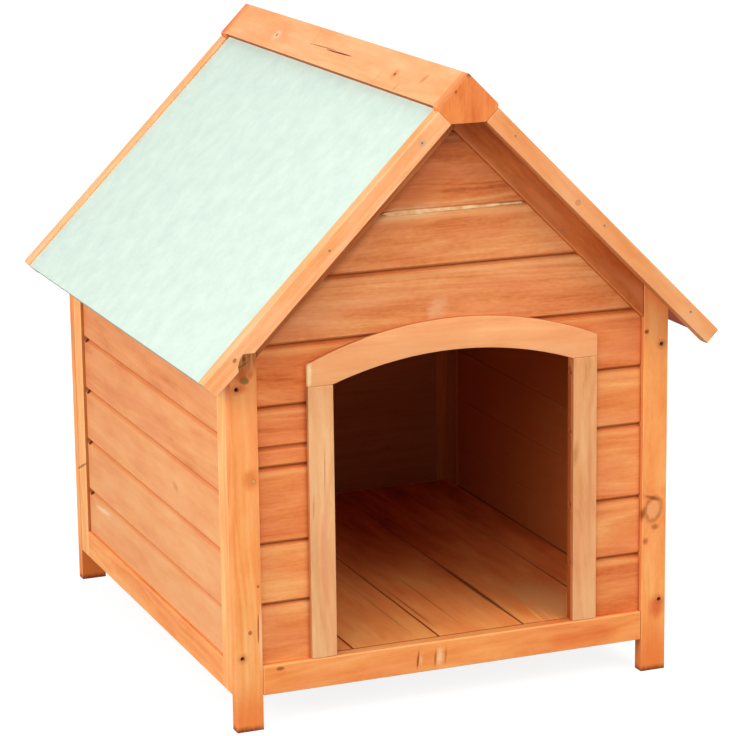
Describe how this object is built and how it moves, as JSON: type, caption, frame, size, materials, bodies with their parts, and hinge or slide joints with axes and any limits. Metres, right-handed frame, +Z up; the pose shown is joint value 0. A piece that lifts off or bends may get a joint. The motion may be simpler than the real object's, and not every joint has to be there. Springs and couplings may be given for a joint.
{
  "type": "dog house",
  "caption": "Stained wooden dog house on short legs: boarded walls, open arched doorway, boarded floor and a steep gable roof of pale felt with barge boards and a ridge cap.",
  "frame": {"origin": "on the ground under the middle of the bounding box, which is the middle of the roof in plan", "axes": "+Z up, -Y the doorway's side, +X to the right for someone who faces the doorway"},
  "size_m": [0.72, 0.834, 0.845],
  "materials": {
    "frame_wood": "satin orange stain",
    "board_wood": "satin orange stain",
    "door_trim_wood": "satin pale stain",
    "roof_trim_wood": "satin orange stain",
    "inner_wood": "matte thin stain",
    "roof_felt": "matte mineral grit"
  },
  "bodies": {
    "root": {"front_post_left": "frame_wood", "front_post_right": "frame_wood", "front_bottom_rail": "frame_wood", "front_gable_rail_left": "frame_wood", "front_gable_rail_right": "frame_wood", "front_board_left_1": "board_wood", "front_board_left_2": "board_wood", "front_board_left_3": "board_wood", "front_board_left_4": "board_wood", "front_board_right_1": "board_wood", "front_board_right_2": "board_wood", "front_board_right_3": "board_wood", "front_board_right_4": "board_wood", "front_board_over_door": "board_wood", "front_gable_board_3": "board_wood", "front_gable_board_2": "board_wood", "front_gable_board_1": "board_wood", "door_jamb_left": "door_trim_wood", "door_jamb_right": "door_trim_wood", "door_arch": "door_trim_wood", "rear_post_left": "frame_wood", "rear_post_right": "frame_wood", "rear_bottom_rail": "frame_wood", "rear_gable_rail_left": "frame_wood", "rear_gable_rail_right": "frame_wood", "rear_wall_boards": "board_wood", "rear_gable_boards": "board_wood", "left_front_stile": "frame_wood", "left_rear_stile": "frame_wood", "left_bottom_rail": "frame_wood", "left_top_rail": "frame_wood", "left_board_1": "board_wood", "left_board_2": "board_wood", "left_board_3": "board_wood", "left_board_4": "board_wood", "left_board_5": "board_wood", "right_front_stile": "frame_wood", "right_rear_stile": "frame_wood", "right_bottom_rail": "frame_wood", "right_top_rail": "frame_wood", "right_board_1": "board_wood", "right_board_2": "board_wood", "right_board_3": "board_wood", "right_board_4": "board_wood", "right_board_5": "board_wood", "floor_boards": "inner_wood", "floor_bearer_front": "inner_wood", "floor_bearer_rear": "inner_wood", "roof_deck_left": "inner_wood", "roof_deck_right": "inner_wood", "roof_felt_left": "roof_felt", "roof_felt_right": "roof_felt", "barge_front_left": "roof_trim_wood", "barge_front_right": "roof_trim_wood", "barge_rear_left": "roof_trim_wood", "barge_rear_right": "roof_trim_wood", "ridge_cap_left": "roof_trim_wood", "ridge_cap_right": "roof_trim_wood", "ridge_block_front": "roof_trim_wood", "ridge_block_rear": "roof_trim_wood"}
  },
  "joints": []
}
